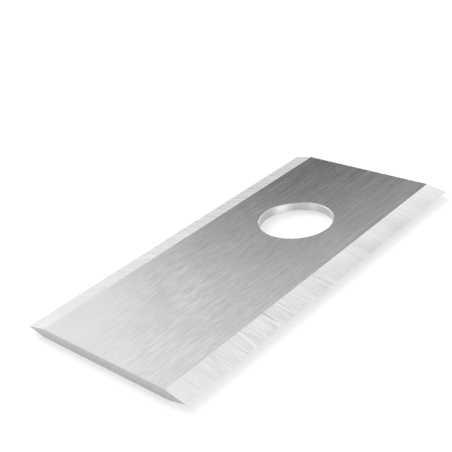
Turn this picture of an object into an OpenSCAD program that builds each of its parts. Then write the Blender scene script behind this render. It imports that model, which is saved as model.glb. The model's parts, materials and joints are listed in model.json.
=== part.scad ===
// Pivoting blade of a rotary mower: one flat strip of hardened steel, ground to a cutting edge
// along both long sides, cut square at both ends and pierced for the screw that it swings on.
// The origin is on the axis of the pivot hole, at the lower face. The length runs along X, with
// the short end at +X and the long, working end at -X, the width along Y, and Z is up.

/* [Strip] */
// Length of the strip, from end to end
blade_length = 37; // [30:0.5:60]
// Width of the strip, from cutting edge to cutting edge
blade_width = 18; // [16:0.5:30]
// Thickness of the strip
blade_thickness = 0.9; // [0.6:0.05:2]

/* [Cutting edges] */
// Width of each ground bevel, measured across the strip
bevel_width = 2; // [1:0.1:3]
// Height of the narrow land that grinding leaves along each cutting edge, at mid-thickness
edge_land = 0.04; // [0.02:0.01:0.1]

/* [Pivot hole] */
// Diameter of the pivot hole
hole_diameter = 7; // [4:0.1:9]
// Distance from the axis of the pivot hole to the short end
hole_to_short_end = 12.1; // [8:0.1:16]
// Width of the chamfer round both rims of the pivot hole
hole_chamfer = 0.08; // [0.02:0.01:0.2]

/* [Cut ends] */
// Width of the edge break along the upper and lower edges of both cut ends
end_break = 0.05; // [0.02:0.01:0.15]

/* [Hidden] */
$fn = 128;

steel = [0.76, 0.76, 0.77];
// How far a cutting shape runs past the surface that it cuts
cut_past = 0.5;

short_end_x = hole_to_short_end;
long_end_x = hole_to_short_end - blade_length;
half_width = blade_width / 2;
half_flat = half_width - bevel_width;
land_bottom = (blade_thickness - edge_land) / 2;
land_top = (blade_thickness + edge_land) / 2;
hole_radius = hole_diameter / 2;

// Cross-section of the strip: two flats, four bevels and a land at each cutting edge
module ground_section() {
    polygon([
        [-half_flat, 0],
        [half_flat, 0],
        [half_width, land_bottom],
        [half_width, land_top],
        [half_flat, blade_thickness],
        [-half_flat, blade_thickness],
        [-half_width, land_top],
        [-half_width, land_bottom]
    ]);
}

// The ground strip as it comes off the coil, along the blade's length
module ground_strip() {
    translate([long_end_x, 0, 0])
        rotate([90, 0, 90])
            linear_extrude(height = blade_length)
                ground_section();
}

// Side outline of the cut length, with the edges of both ends broken
module cut_outline() {
    polygon([
        [long_end_x + end_break, 0],
        [short_end_x - end_break, 0],
        [short_end_x, end_break],
        [short_end_x, blade_thickness - end_break],
        [short_end_x - end_break, blade_thickness],
        [long_end_x + end_break, blade_thickness],
        [long_end_x, blade_thickness - end_break],
        [long_end_x, end_break]
    ]);
}

// The cut length as a block that is wider than the strip
module cut_length() {
    block_width = blade_width + 2 * cut_past;
    rotate([90, 0, 0])
        linear_extrude(height = block_width, center = true)
            cut_outline();
}

// What the punch and the two countersinks take out: the bore and a chamfer at each rim
module pivot_hole() {
    mouth_radius = hole_radius + hole_chamfer + cut_past;
    rotate_extrude()
        polygon([
            [0, -cut_past],
            [mouth_radius, -cut_past],
            [hole_radius, hole_chamfer],
            [hole_radius, blade_thickness - hole_chamfer],
            [mouth_radius, blade_thickness + cut_past],
            [0, blade_thickness + cut_past]
        ]);
}

module blade() {
    color(steel)
        difference() {
            intersection() {
                ground_strip();
                cut_length();
            }
            pivot_hole();
        }
}

blade();
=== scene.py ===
import bmesh
import bpy
import json
import math
from mathutils import Matrix, Vector


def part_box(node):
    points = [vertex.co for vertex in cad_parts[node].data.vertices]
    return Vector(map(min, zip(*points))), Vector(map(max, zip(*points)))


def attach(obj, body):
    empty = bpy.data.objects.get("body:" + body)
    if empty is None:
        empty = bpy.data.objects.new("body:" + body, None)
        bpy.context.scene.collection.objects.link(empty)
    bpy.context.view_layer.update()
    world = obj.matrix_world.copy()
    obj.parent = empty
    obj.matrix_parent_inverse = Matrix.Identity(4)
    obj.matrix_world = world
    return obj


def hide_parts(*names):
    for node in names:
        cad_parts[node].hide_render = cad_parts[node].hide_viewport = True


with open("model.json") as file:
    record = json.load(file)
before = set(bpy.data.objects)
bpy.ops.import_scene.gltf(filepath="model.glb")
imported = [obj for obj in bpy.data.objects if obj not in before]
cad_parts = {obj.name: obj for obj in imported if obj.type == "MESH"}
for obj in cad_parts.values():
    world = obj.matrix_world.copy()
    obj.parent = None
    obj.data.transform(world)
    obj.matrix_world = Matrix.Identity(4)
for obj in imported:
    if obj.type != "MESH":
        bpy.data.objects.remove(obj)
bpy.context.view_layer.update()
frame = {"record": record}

# Blade: one strip of hardened steel. The strip is rolled and brushed flat, ground along both long
# sides from both faces until the bevels meet in an edge, cut to length by a shear and punched
# for its pivot. The upper half is modelled first and then mirrored through mid-thickness.
low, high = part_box("blade")
long_end_x, short_end_x = low[0], high[0]
half_width = high[1]
bottom_z, top_z = low[2], high[2]
mid_z = (bottom_z + top_z) / 2
thickness = top_z - bottom_z
mounts = {mount["name"]: mount for mount in frame["record"]["mounts"]}
hole_radius = mounts["pivot_hole"]["dims"]["r_mm"] / 1000
bevel_width = 0.0020
edge_land = 0.00004
hole_chamfer = 0.00008
end_break = 0.00005
half_flat = half_width - bevel_width
hole_segments = 192
merge_distance = 0.000001
cut_tolerance = merge_distance / 10
sharp_angle = math.radians(20)

# Each kind of face has its own finish, in the order in which the materials are made below.
FLAT, BEVEL, END, BORE, BREAK, RIM = range(6)

blade_mesh = bpy.data.meshes.new("blade")
bm = bmesh.new()


def made(result, kind):
    """The vertices, edges or faces that an operator has made."""
    return [part for part in result["geom"] if isinstance(part, kind)]


def set_finish(faces, finish):
    for face in faces:
        face.material_index = finish


def near(value, target):
    return abs(value - target) < merge_distance


def open_edges(test):
    """The edges with one face whose two ends both pass a test of their place."""
    return [edge for edge in bm.edges if edge.is_boundary and all(test(v.co) for v in edge.verts)]


# The upper flat: the rim of the hole is bridged to a square as wide as the flat, and the square's
# two short sides are drawn out to the ends of the strip.
at_top = Matrix.Translation((0, 0, top_z))
bmesh.ops.create_circle(bm, segments=hole_segments, radius=hole_radius + hole_chamfer, matrix=at_top)
rim = list(bm.edges)
square = bmesh.ops.create_grid(bm, x_segments=1, y_segments=1, size=half_flat, matrix=at_top)
square_face = square["verts"][0].link_faces[0]
square_sides = list(square_face.edges)
bmesh.ops.delete(bm, geom=[square_face], context="FACES_ONLY")
bmesh.ops.subdivide_edges(bm, edges=square_sides, cuts=hole_segments // 4 - 1)
square_outline = [edge for edge in bm.edges if edge not in rim]
bmesh.ops.bridge_loops(bm, edges=rim + square_outline)
for side_x, end_x in ((-half_flat, long_end_x), (half_flat, short_end_x)):
    drawn = bmesh.ops.extrude_edge_only(bm, edges=open_edges(lambda co: near(co.x, side_x)))
    bmesh.ops.translate(bm, verts=made(drawn, bmesh.types.BMVert), vec=(end_x - side_x, 0, 0))
set_finish(bm.faces, FLAT)

# The ground bevels run down from both sides of the flat to the land at the cutting edge.
bevel_drop = (thickness - edge_land) / 2
for side in (-1, 1):
    flat_side = open_edges(lambda co: near(co.y, side * half_flat))
    ground = bmesh.ops.extrude_edge_only(bm, edges=flat_side)
    down_bevel = (0, side * bevel_width, -bevel_drop)
    bmesh.ops.translate(bm, verts=made(ground, bmesh.types.BMVert), vec=down_bevel)
    set_finish(made(ground, bmesh.types.BMFace), BEVEL)
    cutting_edge = open_edges(lambda co: near(co.y, side * half_width))
    land = bmesh.ops.extrude_edge_only(bm, edges=cutting_edge)
    bmesh.ops.translate(bm, verts=made(land, bmesh.types.BMVert), vec=(0, 0, -edge_land / 2))
    set_finish(made(land, bmesh.types.BMFace), BREAK)

# The bore: a narrow chamfer under the rim, then the punched wall down to mid-thickness.
chamfer = bmesh.ops.extrude_edge_only(bm, edges=rim)
chamfer_verts = made(chamfer, bmesh.types.BMVert)
shrink = hole_radius / (hole_radius + hole_chamfer)
bmesh.ops.scale(bm, verts=chamfer_verts, vec=(shrink, shrink, 1))
bmesh.ops.translate(bm, verts=chamfer_verts, vec=(0, 0, -hole_chamfer))
set_finish(made(chamfer, bmesh.types.BMFace), RIM)
wall_top = [edge for edge in made(chamfer, bmesh.types.BMEdge) if edge.is_boundary]
wall = bmesh.ops.extrude_edge_only(bm, edges=wall_top)
wall_drop = top_z - hole_chamfer - mid_z
bmesh.ops.translate(bm, verts=made(wall, bmesh.types.BMVert), vec=(0, 0, -wall_drop))
set_finish(made(wall, bmesh.types.BMFace), BORE)

# The cut ends drop straight to mid-thickness.
to_mid = Matrix.Translation((0, 0, -mid_z))
for end_x in (long_end_x, short_end_x):
    end = bmesh.ops.extrude_edge_only(bm, edges=open_edges(lambda co: near(co.x, end_x)))
    bmesh.ops.scale(bm, verts=made(end, bmesh.types.BMVert), vec=(1, 1, 0), space=to_mid)
    set_finish(made(end, bmesh.types.BMFace), END)

# The lower half is the same, and the upper and lower edges of the ends are broken.
everything = bm.verts[:] + bm.edges[:] + bm.faces[:]
bmesh.ops.mirror(bm, geom=everything, matrix=to_mid, merge_dist=merge_distance, axis="Z")
bmesh.ops.remove_doubles(bm, verts=bm.verts, dist=merge_distance)
for end_x, outward in ((long_end_x, -1), (short_end_x, 1)):
    for face_z, upward in ((bottom_z, -1), (top_z, 1)):
        cut = bmesh.ops.bisect_plane(
            bm,
            geom=bm.verts[:] + bm.edges[:] + bm.faces[:],
            dist=cut_tolerance,
            plane_co=(end_x - outward * end_break, 0, face_z),
            plane_no=(outward, 0, upward),
            clear_outer=True,
        )
        cut_edges = [part for part in cut["geom_cut"] if isinstance(part, bmesh.types.BMEdge)]
        filled = bmesh.ops.edgeloop_fill(bm, edges=cut_edges)
        set_finish(filled["faces"], BREAK)
bmesh.ops.recalc_face_normals(bm, faces=bm.faces)

# Only the bore and its rims are round. The grain map gives the gloss its direction along the strip.
for face in bm.faces:
    face.smooth = face.material_index in (BORE, RIM)
for edge in bm.edges:
    edge.smooth = edge.calc_face_angle() < sharp_angle
grain_map = bm.loops.layers.uv.new("grain")
for face in bm.faces:
    for loop in face.loops:
        loop[grain_map].uv = (loop.vert.co.x / half_width, loop.vert.co.y / half_width)
bm.to_mesh(blade_mesh)
bm.free()


def add_node(tree, kind, inputs=None, **settings):
    """Adds a node. Each input is given a plain value, or the output that feeds it."""
    node = tree.nodes.new(kind)
    for name, value in settings.items():
        setattr(node, name, value)
    for name, value in (inputs or {}).items():
        if isinstance(value, bpy.types.NodeSocket):
            tree.links.new(value, node.inputs[name])
        else:
            node.inputs[name].default_value = value
    return node


def calculate(tree, operation, *values):
    """A Math node on numbers or outputs."""
    inputs = dict(enumerate(values))
    return add_node(tree, "ShaderNodeMath", inputs, operation=operation).outputs["Value"]


def spread(tree, value, start, end, at_start, at_end, curve="LINEAR"):
    """Takes start..end of a value to at_start..at_end and stops at both ends."""
    limits = {"Value": value, "From Min": start, "From Max": end, "To Min": at_start, "To Max": at_end}
    return add_node(tree, "ShaderNodeMapRange", limits, interpolation_type=curve).outputs["Result"]


def steel(name, anisotropy=0.0, turn=0.0):
    """Bare metal. With anisotropy its gloss is drawn out across the brushing or grinding lines."""
    material = bpy.data.materials.new(name)
    material.use_nodes = True
    tree = material.node_tree
    shader = tree.nodes["Principled BSDF"]
    shader.inputs["Metallic"].default_value = 1
    shader.inputs["Anisotropic"].default_value = anisotropy
    shader.inputs["Anisotropic Rotation"].default_value = turn
    if anisotropy:
        tangent = add_node(tree, "ShaderNodeTangent", direction_type="UV_MAP", uv_map="grain")
        tree.links.new(tangent.outputs["Tangent"], shader.inputs["Tangent"])
    blade_mesh.materials.append(material)
    return tree, shader


def place_on_blade(tree):
    """The blade's own coordinates, in metres from the middle of the hole."""
    return add_node(tree, "ShaderNodeTexCoord").outputs["Object"]


def blade_axes(tree):
    """The same coordinates one by one: X to the short end, Y to the left and Z up."""
    return add_node(tree, "ShaderNodeSeparateXYZ", {"Vector": place_on_blade(tree)}).outputs


def marks(tree, per_metre, detail=2.0, shift=0.0):
    """Noise on the blade's own axes: a low count per metre along an axis draws the marks out along it."""
    drawn = {"Vector": place_on_blade(tree), "Scale": per_metre, "Location": (shift, shift, shift)}
    mapping = add_node(tree, "ShaderNodeMapping", drawn)
    noise = {"Vector": mapping.outputs["Vector"], "Scale": 1.0, "Detail": detail}
    return add_node(tree, "ShaderNodeTexNoise", noise).outputs["Fac"]


def vary(tree, noise, at_least, at_most):
    """Takes the noise of some marks, which hardly leaves 0.2 to 0.8, to a range of its own."""
    return spread(tree, noise, 0.2, 0.8, at_least, at_most)


def join_finish(tree, shader, grey, roughness, height, depth):
    """Joins a finish to its shader: grey of the metal, roughness, and marks of a depth in metres."""
    bump = add_node(tree, "ShaderNodeBump", {"Height": height, "Distance": depth})
    tree.links.new(grey, shader.inputs["Base Color"])
    tree.links.new(roughness, shader.inputs["Roughness"])
    tree.links.new(bump.outputs["Normal"], shader.inputs["Normal"])


# The two flats are brushed lengthways: short fine lines, some long ones, and soft clouds. From in
# front of the hole to behind it, the fine lines give way to the long ones.
flat_grey = 0.645
cloud_grey = 0.06
brush_depth = 0.0000008
fine_end_x, long_start_x = -0.010, 0.006
tree, shader = steel("brushed_flat", anisotropy=0.5, turn=0.25)
axes = blade_axes(tree)
fine_lines = calculate(tree, "SUBTRACT", marks(tree, (800, 4300, 800), detail=1.5), 0.5)
long_lines = calculate(tree, "SUBTRACT", marks(tree, (150, 3000, 500), shift=3.7), 0.5)
clouds = marks(tree, (180, 260, 180), shift=8.1)
fine_share = spread(tree, axes["X"], fine_end_x, long_start_x, 0.62, 0.30)
long_share = spread(tree, axes["X"], fine_end_x, long_start_x, 0.35, 0.65)
lines = calculate(tree, "MULTIPLY", long_lines, long_share)
lines = calculate(tree, "MULTIPLY_ADD", fine_lines, fine_share, lines)

# The lines are faint at the left corner of the long end, up to a front that runs aslant.
corner_contrast, flat_contrast = 0.09, 0.40
corner_slant = -1.2
faint_until, full_from = -0.0275, -0.0205
from_corner = calculate(tree, "MULTIPLY_ADD", axes["Y"], corner_slant, axes["X"])
contrast = spread(tree, from_corner, faint_until, full_from, corner_contrast, flat_contrast)
grey = calculate(tree, "MULTIPLY_ADD", lines, contrast, flat_grey)
grey = calculate(tree, "ADD", grey, vary(tree, clouds, 0.0, cloud_grey))

# The upper flat is paler in an aslant oval in front of the hole, most of all on the pale lines.
pale_least, pale_most = 0.02, 0.08
pale_oval = {
    "Vector": place_on_blade(tree),
    "Location": (-0.0144, 0.0002, top_z),
    "Rotation": (0, 0, math.radians(60)),
    "Scale": (0.0068, 0.0026, 0.0006),
}
in_oval = add_node(tree, "ShaderNodeMapping", pale_oval, vector_type="TEXTURE").outputs["Vector"]
fade = add_node(tree, "ShaderNodeTexGradient", {"Vector": in_oval}, gradient_type="SPHERICAL").outputs["Fac"]
pale_patch = spread(tree, fade, 0.0, 0.7, 0.0, 1.0, "SMOOTHSTEP")
pale_grey = spread(tree, lines, -0.12, 0.12, pale_least, pale_most)
grey = calculate(tree, "MULTIPLY_ADD", pale_patch, pale_grey, grey)
roughness = spread(tree, lines, -0.3, 0.3, 0.19, 0.25)
join_finish(tree, shader, grey, roughness, lines, brush_depth)


def right_and_left(tree, axes, on_right, on_left):
    """One value on the right bevel and another on the left one."""
    return spread(tree, axes["Y"], -half_flat, half_flat, on_right, on_left)


# The bevels are ground straight across: close lines from the flat down to the edge, and some bolder
# ones. They start faint at the long end. On the left they grow bolder all the way to the hole, and on
# the right they soften again in front of it.
# The two bevels are the same ground steel; the left one is painted a darker grey, as painted shade.
right_grey, left_shaded_grey = 0.892, 0.835
close_part, bold_part = 0.8, 0.2
grind_depth = 0.000001
right_full_x = -0.0165
soften_start_x, soften_end_x = -0.010, -0.004
left_start_x, left_full_x = -0.022, 0.0
tree, shader = steel("ground_bevel", anisotropy=0.5)
axes = blade_axes(tree)
close_lines = marks(tree, (11000, 500, 500))
bold_lines = marks(tree, (3200, 300, 300), detail=3.0, shift=5.3)
lines = calculate(tree, "MULTIPLY", bold_lines, bold_part)
lines = calculate(tree, "MULTIPLY_ADD", close_lines, close_part, lines)
right_contrast = spread(tree, axes["X"], long_end_x, right_full_x, 0.16, 0.84)
softer = spread(tree, axes["X"], soften_start_x, soften_end_x, 1.0, 0.42)
right_contrast = calculate(tree, "MULTIPLY", right_contrast, softer)
left_contrast = spread(tree, axes["X"], left_start_x, left_full_x, 0.27, 0.90)
contrast = right_and_left(tree, axes, right_contrast, left_contrast)
bevel_grey = right_and_left(tree, axes, right_grey, left_shaded_grey)
grey = calculate(tree, "SUBTRACT", lines, 0.5)
grey = calculate(tree, "MULTIPLY_ADD", grey, contrast, bevel_grey)

# Beside the hole the bevels carry painted shade across them, paler along the flat and darker along the edge,
# and they are broadly banded, most of all on the right.
shade_start_x, shade_full_x, shade_fade_x = -0.012, -0.003, 0.007
left_share, short_end_share = 0.4, 0.3
along_flat, along_edge, band_grey = 0.038, -0.078, 0.04
by_hole = spread(tree, axes["X"], shade_start_x, shade_full_x, 0.0, 1.0)
fading = spread(tree, axes["X"], shade_fade_x, short_end_x, 1.0, short_end_share)
by_hole = calculate(tree, "MULTIPLY", by_hole, fading)
by_hole = calculate(tree, "MULTIPLY", by_hole, right_and_left(tree, axes, 1.0, left_share))
from_flat = calculate(tree, "SUBTRACT", calculate(tree, "ABSOLUTE", axes["Y"]), half_flat)
# Painted shade across the bevel: paler by the flat, darker towards the cutting edge.
shading = spread(tree, from_flat, 0.0, bevel_width, along_flat, along_edge)
bands = marks(tree, (420, 90, 90), shift=2.9)
bands = spread(tree, bands, 0.3, 0.7, -band_grey, band_grey)
shading = calculate(tree, "ADD", shading, bands)
grey = calculate(tree, "MULTIPLY_ADD", by_hole, shading, grey)

# Both ends of the bevels are paler.
pale_until_x, pale_from_x = -0.0210, 0.004
long_end_paler, short_end_paler = 0.05, 0.07
long_end_lift = spread(tree, axes["X"], long_end_x, pale_until_x, long_end_paler, 0.0)
short_end_lift = spread(tree, axes["X"], pale_from_x, short_end_x, 0.0, short_end_paler)
grey = calculate(tree, "ADD", grey, long_end_lift)
grey = calculate(tree, "ADD", grey, short_end_lift)

# The wheel has bitten in three places on the upper right bevel, from the flat towards the edge.
bite_fade = 0.0003
right_side = calculate(tree, "LESS_THAN", axes["Y"], 0.0)
upper_side = calculate(tree, "GREATER_THAN", axes["Z"], mid_z)
upper_right = calculate(tree, "MULTIPLY", right_side, upper_side)
for bite_x, bite_half_width, bite_end, darker in (
    (-0.0137, 0.00009, 0.0083, 0.34),
    (-0.0131, 0.00009, 0.0074, 0.16),
    (-0.0122, 0.00007, 0.0089, 0.14),
):
    aside = calculate(tree, "ABSOLUTE", calculate(tree, "SUBTRACT", axes["X"], bite_x))
    bite = spread(tree, aside, 0.0, bite_half_width, 1.0, 0.0, "SMOOTHSTEP")
    reach = spread(tree, axes["Y"], -bite_end - bite_fade, -bite_end + bite_fade, 0.0, 1.0)
    bite = calculate(tree, "MULTIPLY", bite, reach)
    bite = calculate(tree, "MULTIPLY", bite, upper_right)
    grey = calculate(tree, "MULTIPLY_ADD", bite, -darker, grey)
join_finish(tree, shader, grey, vary(tree, lines, 0.44, 0.36), lines, grind_depth)


def paint_highlights(tree, grey, places):
    """Paints highlights onto the steel round the hole: each place is a bearing, a half width and how much
    brighter.
    """
    axes = blade_axes(tree)
    bearing = calculate(tree, "ARCTAN2", axes["Y"], axes["X"])
    for degrees, half_width_degrees, brighter in places:
        aside = calculate(tree, "SUBTRACT", bearing, math.radians(degrees))
        aside = calculate(tree, "ABSOLUTE", aside)
        # A painted highlight: a soft band of brighter grey at this bearing round the hole.
        highlight = spread(tree, aside, 0.0, math.radians(half_width_degrees), 1.0, 0.0, "SMOOTHSTEP")
        grey = calculate(tree, "MULTIPLY_ADD", highlight, brighter, grey)
    return grey


def marked_steel(name, per_metre, greys, roughnesses, highlight_places=()):
    """A finish with one kind of marks, which change its grey and its roughness, and painted highlights at
    any places given.
    """
    mark_depth = 0.000001
    tree, shader = steel(name)
    finish_marks = marks(tree, per_metre)
    grey = vary(tree, finish_marks, *greys)
    if highlight_places:
        grey = paint_highlights(tree, grey, highlight_places)
    join_finish(tree, shader, grey, vary(tree, finish_marks, *roughnesses), finish_marks, mark_depth)


# The cut ends are dull and even, with faint upright marks of the shear.
marked_steel("sheared_end", (900, 3000, 900), greys=(0.530, 0.585), roughnesses=(0.52, 0.46))

# The bore is smeared smooth by the punch, and painted highlights lie on it in two places.
bore_highlights = ((61, 24, 0.36), (8, 11, 0.14))
marked_steel("punched_bore", (900, 900, 250), (0.580, 0.640), (0.34, 0.28), bore_highlights)

# The cutting edge's land and the broken edges of the ends are worn even and bright.
marked_steel("broken_edge", (2500, 2500, 2500), greys=(0.84, 0.92), roughnesses=(0.36, 0.28))

# The rims of the hole are the same steel, turned over smooth by the punch, with painted highlights in two
# places.
rim_highlights = ((-20, 34, 0.22), (133, 20, 0.18))
marked_steel("hole_rim", (2500, 2500, 2500), (0.68, 0.78), (0.26, 0.18), rim_highlights)

blade = bpy.data.objects.new("blade_steel", blade_mesh)
bpy.context.collection.objects.link(blade)
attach(blade, "root")
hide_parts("blade")

# Floor: a plain pale table top that the blade lies on. What the camera and the steel see of it is
# lifted a little to white, and the blade's shadow stays.
floor_half_side = 5.0
floor_grey = 0.7
floor_roughness = 0.9
white_lift = 0.41
floor_mesh = bpy.data.meshes.new("floor")
bm = bmesh.new()
bmesh.ops.create_grid(bm, x_segments=1, y_segments=1, size=floor_half_side)
bm.to_mesh(floor_mesh)
bm.free()
floor = bpy.data.objects.new("floor", floor_mesh)
bpy.context.collection.objects.link(floor)
floor_paint = bpy.data.materials.new("floor_paint")
floor_paint.use_nodes = True
tree = floor_paint.node_tree
shader = tree.nodes["Principled BSDF"]
shader.inputs["Base Color"].default_value = (floor_grey, floor_grey, floor_grey, 1)
shader.inputs["Roughness"].default_value = floor_roughness
shader.inputs["Specular IOR Level"].default_value = 0
shader.inputs["Emission Color"].default_value = (1, 1, 1, 1)
ray = add_node(tree, "ShaderNodeLightPath").outputs
seen = calculate(tree, "ADD", ray["Is Camera Ray"], ray["Is Glossy Ray"])
seen = calculate(tree, "ADD", seen, ray["Is Transmission Ray"])
tree.links.new(calculate(tree, "MULTIPLY", seen, white_lift), shader.inputs["Emission Strength"])
floor_mesh.materials.append(floor_paint)

# Studio: an even white room. Soft dark screens stand around the table and two hang above it, so that
# the steel has something to mirror from every side. A soft bright window is behind on the left.
ceiling_level = 0.90
window_gain = 0.30
patch_depth = 10
world = bpy.data.worlds.new("studio")
bpy.context.scene.world = world
world.use_nodes = True
tree = world.node_tree
direction = add_node(tree, "ShaderNodeTexCoord").outputs["Generated"]


def toward(azimuth, elevation):
    """The unit vector towards a place in the room, in degrees."""
    turned, raised = math.radians(azimuth), math.radians(elevation)
    level_part = math.cos(raised)
    return Vector((level_part * math.cos(turned), level_part * math.sin(turned), math.sin(raised)))


def soft_patch(azimuth, elevation, wide, tall, outside, inside):
    """A soft oval in one direction of the room, so deep that only the distance across it counts."""
    oval = {
        "Vector": direction,
        "Location": toward(azimuth, elevation),
        "Rotation": (0, -math.radians(elevation), math.radians(azimuth)),
        "Scale": (patch_depth, wide, tall),
    }
    in_oval = add_node(tree, "ShaderNodeMapping", oval, vector_type="TEXTURE").outputs["Vector"]
    fade = add_node(tree, "ShaderNodeTexGradient", {"Vector": in_oval}, gradient_type="SPHERICAL")
    return spread(tree, fade.outputs["Fac"], 0.0, 0.8, outside, inside, "SMOOTHSTEP")


upward = add_node(tree, "ShaderNodeSeparateXYZ", {"Vector": direction}).outputs["Z"]
level = spread(tree, upward, 0.0, 1.0, 1.0, ceiling_level)
for azimuth, elevation, wide, tall, screen_level in (
    (38.3, 20.7, 0.421, 0.274, 0.0),
    (145.0, 22.0, 0.416, 0.291, 0.1),
    (310.0, 25.0, 0.416, 0.291, 0.1),
    (221.0, 50.0, 1.100, 0.700, 0.3),
    (105.0, 52.0, 0.450, 0.350, 0.7),
):
    screen = soft_patch(azimuth, elevation, wide, tall, outside=1.0, inside=screen_level)
    level = calculate(tree, "MULTIPLY", level, screen)
window = soft_patch(azimuth=64.7, elevation=35.6, wide=0.307, tall=0.409, outside=0.0, inside=window_gain)
level = calculate(tree, "ADD", level, window)
tree.links.new(level, tree.nodes["Background"].inputs["Color"])

# Lamp: a low soft light from behind on the left, far off and wide, so that it lights the table evenly.
# The steel doesn't mirror it.
lamp_azimuth, lamp_elevation = 72.0, 24.0
lamp_data = bpy.data.lights.new("low_lamp", "SUN")
lamp_data.angle = math.radians(40)
lamp_data.energy = 2.0
lamp = bpy.data.objects.new("low_lamp", lamp_data)
bpy.context.collection.objects.link(lamp)
lamp_turn = toward(lamp_azimuth, lamp_elevation).to_track_quat("Z", "Y")
lamp.matrix_world = lamp_turn.to_matrix().to_4x4()
lamp.visible_glossy = False

# Camera: the photograph's own view, from past the right corner of the long end and above it, with
# a long lens. It is rolled a little, as in the photograph.
eye = Vector((-0.05635, -0.04624, 0.04049))
aim = Vector((-0.00365, 0.00568, 0.00045))
roll = math.radians(-7.57)
camera_data = bpy.data.cameras.new("camera")
camera_data.sensor_width = 36
camera_data.lens = 69.90
camera_data.clip_start = 0.001
camera = bpy.data.objects.new("camera", camera_data)
bpy.context.collection.objects.link(camera)
camera_turn = (aim - eye).to_track_quat("-Z", "Y").to_matrix().to_4x4() @ Matrix.Rotation(roll, 4, "Z")
camera.matrix_world = Matrix.Translation(eye) @ camera_turn
bpy.context.scene.camera = camera
bpy.context.scene.view_settings.view_transform = "Standard"
